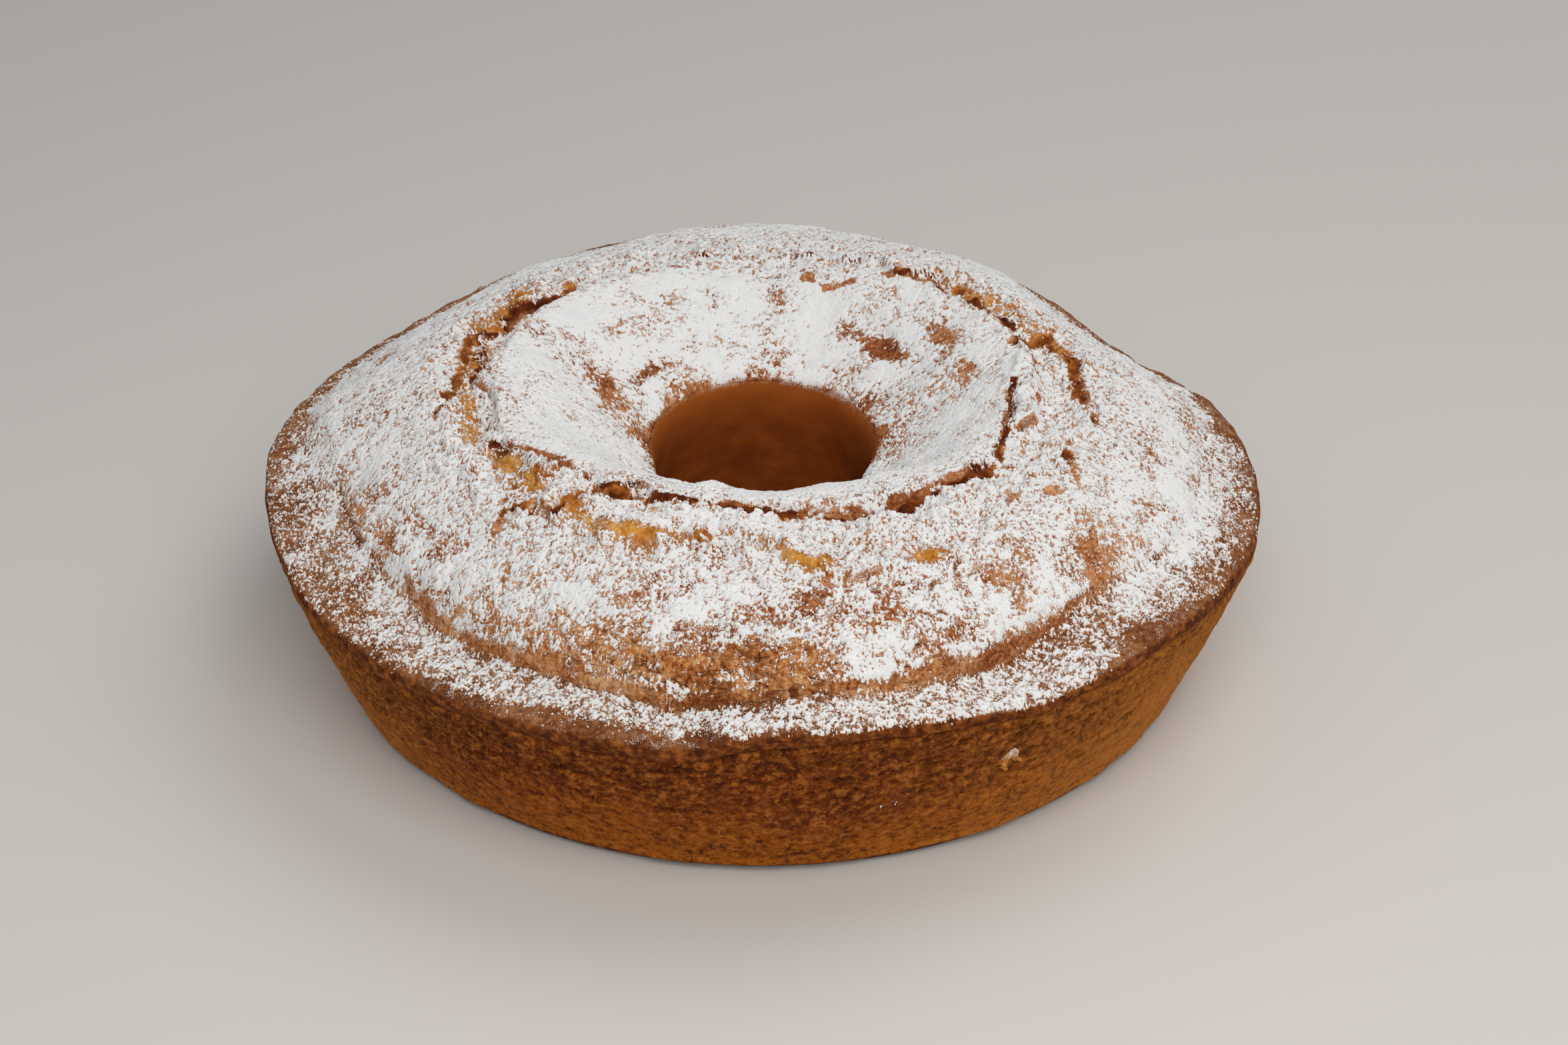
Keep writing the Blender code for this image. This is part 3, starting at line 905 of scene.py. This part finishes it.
# Thin and thick places: angle, distance out, half widths in degrees and metres, change
SUGAR_PLACES = [
    (-97, 0.1150, 8, 0.0040, -0.60),
    (-85, 0.1165, 5, 0.0030, -0.50),
    (-112, 0.1115, 6, 0.0030, -0.35),
    (-124, 0.1105, 5, 0.0025, -0.30),
    (-62, 0.1125, 5, 0.0022, -0.30),
    (-45, 0.1060, 6, 0.0090, -0.25),
    (-112, 0.1035, 7, 0.0050, 0.15),
    (-97, 0.0790, 16, 0.0040, 0.22),
    (-165, 0.0980, 25, 0.0150, 0.08),
    (-67, 0.1045, 5, 0.0055, 0.22),
    (-55, 0.1040, 4, 0.0050, -0.20),
    (-157, 0.1105, 5, 0.0030, -0.5),
    (-147, 0.1085, 3, 0.0030, -0.4),
    (-44, 0.1080, 2, 0.0045, -0.35),
    (-30, 0.1150, 10, 0.0060, 0.20),
    (-53, 0.1165, 6, 0.0045, -0.28),
    (-144, 0.1240, 6, 0.0050, -0.22),
    (-156, 0.1205, 6, 0.0060, -0.18),
    (-86, 0.0920, 6, 0.0080, 0.18),
    (-89, 0.1190, 5, 0.0040, -0.20),
    (43, 0.0460, 11, 0.0028, -1.1),
    (29, 0.0560, 7, 0.0030, -0.75),
    (10, 0.0540, 5, 0.0020, -0.7),
    (143, 0.0400, 9, 0.0016, -0.8),
    (165, 0.0440, 7, 0.0020, -0.6),
    (165, 0.0350, 28, 0.0070, -0.20),
    (172, 0.0470, 14, 0.0060, -0.10),
    (0, 0.0360, 26, 0.0070, -0.42),
    (20, 0.0480, 12, 0.0080, -0.30),
    (70, 0.0600, 4, 0.0016, -0.5),
    (86, 0.0630, 3, 0.0018, -0.5),
    (25, 0.1260, 30, 0.0040, -0.35),
    (150, 0.1250, 30, 0.0040, -0.25),
]

# Where the bare edge is wider or narrower: angle, half width, change
LIP_BARE = [
    (-145, 16, -0.0012), (-112, 9, 0.0022), (-100, 6, 0.0020), (-74, 18, -0.0042),
    (-58, 7, -0.0010), (-46, 7, 0.0034), (-34, 6, -0.0012), (-19, 8, -0.0026),
    (-5, 6, -0.0006), (20, 14, -0.0016), (95, 60, -0.0018), (178, 32, -0.0034),
]


def sugar_cover(points):
    """Share of the cake's top that sugar covers, over 1 where it lies thick."""
    angle, radius = polar(points)
    lip = lip_radius(angle)
    fold = fold_radius(angle)
    ragged = 0.0040 * lumps(points, 0.008, 3, 21.0)
    in_front = np.clip(1.6 * near(angle, -97.0, 50.0), 0.0, 1.0)
    cover = DOME_FRONT_COVER + DOME_BACK_MORE * (1.0 - in_front) + 0.46 * lumps(points, 0.012, 2, 61.0)
    cover += 0.30 * lumps(points, 0.0045, 2, 63.0)
    cover += (DOME_TOP_COVER - cover) * step(0.104, 0.092, radius)
    on_ledge = step(fold - 0.0005, fold + 0.0008, radius)
    front_ledge = FRONT_LEDGE_COVER - 0.10 * near(angle, -140.0, 25.0)
    front_ledge += 0.2 * lumps(points, 0.006, 2, 65.0)
    cover += (front_ledge - cover) * on_ledge * in_front
    towards_lip = np.clip((radius - fold) / LEDGE_WIDTH, 0.0, 1.0)
    back_ledge = BACK_LEDGE_COVER - 0.62 * towards_lip + 0.3 * lumps(points, 0.010, 2, 67.0)
    cover += (back_ledge - cover) * on_ledge * (1.0 - in_front)
    funnel = FUNNEL_COVER + 0.45 * lumps(points, 0.011, 3, 71.0)
    cover += (funnel - cover) * step(CREST_RADIUS + 0.004, CREST_RADIUS - 0.002, radius)
    for place, out, turn, wide, change in SUGAR_PLACES:
        cover += change * near(angle, place, turn) * np.exp(-((radius - out) / wide) ** 2)
    cover -= 0.90 * golden(points)
    cover -= 0.45 * in_front * np.exp(-((radius - fold - 0.0002) / 0.0007) ** 2)
    bare = BARE_EDGE + swelled(angle, LIP_BARE)
    cover -= 0.8 * step(0.0022, -0.0018, lip - radius - bare + 0.7 * ragged)
    cover -= 0.8 * step(0.0060, -0.001, radius - HOLE_RADIUS + ragged)
    return cover - 1.3 * cracked(points)


def sugar_field(points):
    """Over 0 where sugar lies and higher towards the middle of a clump, between -1 and 1."""
    lace = 0.50 * lumps(points, 0.00050, 1, 31.0) + 0.34 * lumps(points, 0.0010, 2, 41.0)
    lace += 0.20 * lumps(points, 0.0026, 2, 51.0)
    rank = np.searchsorted(np.sort(lace), lace) / len(lace)
    return rank + sugar_cover(points) - 1.0


def sugar_grid(half, cell):
    """A flat grid over the front or the back half of the cake, held above it."""
    across = 2.0 * (LIP_RADIUS + 0.002)
    bpy.ops.mesh.primitive_grid_add(
        x_subdivisions=int(across / cell), y_subdivisions=int(0.5 * across / (cell * CELL_DEPTH)),
        size=across, location=(0.0, half * 0.25 * across, HELD_ABOVE),
    )
    grid = bpy.context.object
    grid.scale[1] = 0.5
    bpy.ops.object.transform_apply(location=True, rotation=False, scale=True)
    return grid


bpy.ops.object.select_all(action="DESELECT")
grids = [sugar_grid(half, cell) for half, cell in SUGAR_CELLS]
for grid in grids:
    grid.select_set(True)
bpy.ops.object.join()
sugar = bpy.context.object
sugar.name = "sugar"
grounds = []
for piece in (crust, crumb, front_skin):
    spare = piece.copy()
    spare.data = piece.data.copy()
    bpy.context.collection.objects.link(spare)
    grounds.append(spare)
pick_only(grounds[0])
for spare in grounds[1:]:
    spare.select_set(True)
bpy.ops.object.join()
lay_on(sugar, grounds[0])
bpy.data.objects.remove(grounds[0], do_unlink=True)

ground = read_points(sugar)
angle, radius = polar(ground)
landed = (ground[:, 2] < HELD_ABOVE - 0.01) & (radius > HOLE_RADIUS - 0.001)
landed &= radius < lip_radius(angle) + 0.0005
field = np.full(len(ground), -1.0)
field[landed] = sugar_field(ground[landed])

# Sugar slides off where the crust stands too steep for it
corners = np.empty(len(sugar.data.loops), dtype=np.int32)
sugar.data.loops.foreach_get("vertex_index", corners)
corners = corners.reshape(-1, 4)
rises = np.ptp(ground[corners, 2], axis=1)
cell_sides = np.where(ground[corners[:, 0], 1] < 0.0, SUGAR_CELLS[0][1], SUGAR_CELLS[1][1])
around = np.bincount(corners.ravel(), minlength=len(ground))
steepness = np.bincount(corners.ravel(), np.repeat(rises / cell_sides, 4), len(ground)) / around
steepest = np.where(np.hypot(ground[:, 0], ground[:, 1]) < 0.045, STEEPEST_NEAR_HOLE, STEEPEST)
field -= step(steepest, steepest + 1.4, steepness)
chance = np.random.default_rng(11)
crumbly = 0.00005 * chance.standard_normal(len(ground))
lift = np.where(field > 0.0, SUGAR_DEPTH * (1.0 - np.exp(-3.0 * field)), -0.0004)
points = ground.copy()
points[:, 2] += lift + np.where(field > 0.04, crumbly, 0.0)
write_points(sugar, points)
store(sugar, depth=field)

highest = field[corners].max(axis=1)
missing = (~landed)[corners].any(axis=1)
bpy.ops.object.mode_set(mode="EDIT")
bpy.ops.mesh.select_all(action="DESELECT")
bpy.ops.mesh.select_mode(type="FACE")
bpy.ops.object.mode_set(mode="OBJECT")
sugar.data.polygons.foreach_set("select", (highest < 0.0) | missing)
bpy.ops.object.mode_set(mode="EDIT")
bpy.ops.mesh.delete(type="FACE")
bpy.ops.object.mode_set(mode="OBJECT")
bpy.ops.object.shade_smooth()


def sugar_finish():
    finish, tree, shader = new_finish("icing_sugar", 0.95, 0.1)
    where = place_of(tree)
    fine = mottle(tree, where, 0.00024, 3.0, 0.7)
    thick = spread(tree, kept(tree, "depth"), 0.0, 0.42)
    thick = plus(tree, thick, spread(tree, fine, 0.35, 0.65, -0.66, 0.6))
    base = mixed(tree, spread(tree, thick, 0.10, 0.45), (178, 122, 80), (235, 235, 234))
    tree.links.new(base, shader.inputs["Base Color"])
    roughen(tree, shader, mottle(tree, where, 0.0004, 4.0, 0.75), 0.0005, 0.8)
    return finish


powder = sugar_finish()
sugar.data.materials.append(powder)

# Five beds of sugar: on the ledge, on three parts of the dome, and in the funnel
beds = ["sugar_ledge", "sugar_dome_left", "sugar_dome_right", "sugar_dome_back", "sugar_funnel"]
middles = np.empty(len(sugar.data.polygons) * 3)
sugar.data.polygons.foreach_get("center", middles)
middles = middles.reshape(-1, 3)
angle, radius = polar(middles)
belongs = np.where(middles[:, 1] > 0.0, 3, np.where(middles[:, 0] < 0.0, 1, 2))
belongs = np.where(radius > fold_radius(angle), 0, np.where(radius < CREST_RADIUS, 4, belongs))
for number, name in list(enumerate(beds))[1:]:
    sugar.data.polygons.foreach_set("select", belongs == number)
    pick_only(sugar)
    bpy.ops.object.mode_set(mode="EDIT")
    bpy.ops.mesh.separate(type="SELECTED")
    bpy.ops.object.mode_set(mode="OBJECT")
    bed = [piece for piece in bpy.context.selected_objects if piece != sugar][0]
    bed.name = name
    belongs = belongs[belongs != number]
    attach(bed, "root")
sugar.name = beds[0]
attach(sugar, "root")

# Loose grains round the drifts, each a small block turned its own way
bpy.ops.object.select_all(action="DESELECT")
bpy.ops.mesh.primitive_cube_add(size=1.5)
grains = bpy.context.object
grains.name = "sugar_grains"
grain_points = read_points(grains)
grain_faces = [list(face.vertices) for face in grains.data.polygons]
wanted = np.where((field < 0.06) & landed, np.exp(np.minimum(field, 0.0) / 0.16) - 0.02, 0.0)
wanted *= np.where(ground[:, 1] < 0.0, 1.0, 0.5)
wanted = np.maximum(wanted, 0.0)
spots = chance.choice(len(ground), GRAINS, replace=False, p=wanted / wanted.sum())
places = ground[spots]
for number, (place, out, high) in enumerate(FLECKS):
    middle = (math.radians(place), out, high)
    fleck = chance.normal(middle, (0.0040, 0.0002, 0.0004), (FLECK_GRAINS, 3))
    places[number * FLECK_GRAINS:(number + 1) * FLECK_GRAINS] = round_middle(*fleck.T)
size = 0.00010 + 0.00022 * chance.random(GRAINS) ** 2.0
shape = size[:, None] * (0.45 + 0.9 * chance.random((GRAINS, 3)))
turns = chance.normal(size=(GRAINS, 4))
turns /= np.linalg.norm(turns, axis=1)[:, None]
w, x, y, z = turns.T
spin = np.array([
    [1 - 2 * (y * y + z * z), 2 * (x * y - w * z), 2 * (x * z + w * y)],
    [2 * (x * y + w * z), 1 - 2 * (x * x + z * z), 2 * (y * z - w * x)],
    [2 * (x * z - w * y), 2 * (y * z + w * x), 1 - 2 * (x * x + y * y)],
]).transpose(2, 0, 1)
bits = np.einsum("nij,nvj->nvi", spin, grain_points[None, :, :] * shape[:, None, :])
bits += places[:, None, :]
bits[:, :, :2] += 0.0002 * (chance.random((GRAINS, 2)) - 0.5)[:, None, :]
bits[:, :, 2] += 0.4 * size[:, None]
mesh = bpy.data.meshes.new("sugar_grains")
faces = [[corner + start for corner in face]
         for start in range(0, GRAINS * len(grain_points), len(grain_points)) for face in grain_faces]
mesh.from_pydata(bits.reshape(-1, 3).tolist(), [], faces)
grains.data = mesh
store(grains, depth=1.0)
grains.data.materials.append(powder)
pick_only(grains)
bpy.ops.object.shade_smooth()
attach(grains, "root")

# The finest sugar is only a dust on the crust
for piece in (crust, crumb, front_skin):
    points = read_points(piece)
    angle, radius = polar(points)
    near_lip = step(0.010, 0.003, lip_radius(angle) - radius)
    store(piece, dust=np.clip(np.maximum(sugar_cover(points), LIP_DUST * near_lip), 0.0, 1.0))


# ----------------------------------------------------------------------
# Loose flake
# A torn shred of pale crumb that stuck to the side in front, with sugar caught on it. It is a
# rounded block, drawn out along the side and made ragged.
# ----------------------------------------------------------------------

FLAKE_PLACE = (-64.0, 0.1243, 0.0296)      # angle, distance out, height
FLAKE_SIZE = (0.0080, 0.0015, 0.0028)
FLAKE_LEVELS = 5

bpy.ops.object.select_all(action="DESELECT")
bpy.ops.mesh.primitive_cube_add(size=1.0)
flake = bpy.context.object
flake.name = "loose_flake"
round_off(flake, FLAKE_LEVELS)
points = read_points(flake) * np.array(FLAKE_SIZE)
points[:, 2] += 0.0008 * np.sin(points[:, 0] / 0.0018) + 0.10 * points[:, 0]
points += 0.0030 * np.column_stack([lumps(points, 0.0026, 3, shift) for shift in (1.0, 2.0, 3.0)])
turn = math.radians(FLAKE_PLACE[0])
out = FLAKE_PLACE[1] + points[:, 1]
points = np.column_stack([
    CAKE_MIDDLE[0] + out * math.cos(turn) - points[:, 0] * math.sin(turn),
    CAKE_MIDDLE[1] + out * math.sin(turn) + points[:, 0] * math.cos(turn),
    FLAKE_PLACE[2] + points[:, 2],
])
write_points(flake, points)
store(
    flake, torn=1.0, golden=0.6, cliff=0.0, crinkled=0.0, lip=0.0, crease=0.0,
    dust=0.2 + step(0.0, 0.0014, points[:, 2] - FLAKE_PLACE[2]),
)
flake.data.materials.append(crumb.data.materials[0])
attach(flake, "root")


# ----------------------------------------------------------------------
# Floor, light and camera
# A plain pale floor under a soft window from behind on the right and a dimmer room light in
# front. The eye stands in front of the cake and looks down at it.
# ----------------------------------------------------------------------

bpy.ops.object.select_all(action="DESELECT")
bpy.ops.mesh.primitive_plane_add(size=40.0, location=(0.0, 0.0, -0.0003))
floor = bpy.context.object
floor.name = "floor"
plain, tree, shader = new_finish("plain_floor", 0.8, 0.3)
shader.inputs["Base Color"].default_value = tint(206, 201, 195)
floor.data.materials.append(plain)

scene = bpy.context.scene
scene.view_settings.view_transform = "Standard"
room = bpy.data.worlds.new("soft_room")
room.use_nodes = True
room.node_tree.nodes["Background"].inputs["Color"].default_value = (0.94, 0.97, 1.0, 1.0)
room.node_tree.nodes["Background"].inputs["Strength"].default_value = 0.40
scene.world = room


def soft_light(name, place, size, power, shade):
    lamp = bpy.data.lights.new(name, "AREA")
    lamp.shape = "DISK"
    lamp.size = size
    lamp.energy = power
    lamp.color = shade
    holder = bpy.data.objects.new(name, lamp)
    holder.location = place
    holder.rotation_euler = (-holder.location).to_track_quat("-Z", "Y").to_euler()
    scene.collection.objects.link(holder)


soft_light("window", (0.8, 0.6, 1.5), 1.3, 8.0, (1.0, 0.99, 0.97))
soft_light("room_light", (0.10, -0.55, 0.62), 0.7, 3.9, (1.0, 0.98, 0.95))

EYE_DISTANCE = 0.605
EYE_ELEVATION = math.radians(33.2)
EYE_TILT = math.radians(31.2)
lens = bpy.data.cameras.new("camera")
lens.lens = 50.0
lens.sensor_width = 36.0
lens.clip_start = 0.01
camera = bpy.data.objects.new("camera", lens)
camera.location = (0.0, -EYE_DISTANCE * math.cos(EYE_ELEVATION), EYE_DISTANCE * math.sin(EYE_ELEVATION))
camera.rotation_euler = (math.radians(90.0) - EYE_TILT, 0.0, math.radians(-0.65))
scene.collection.objects.link(camera)
scene.camera = camera
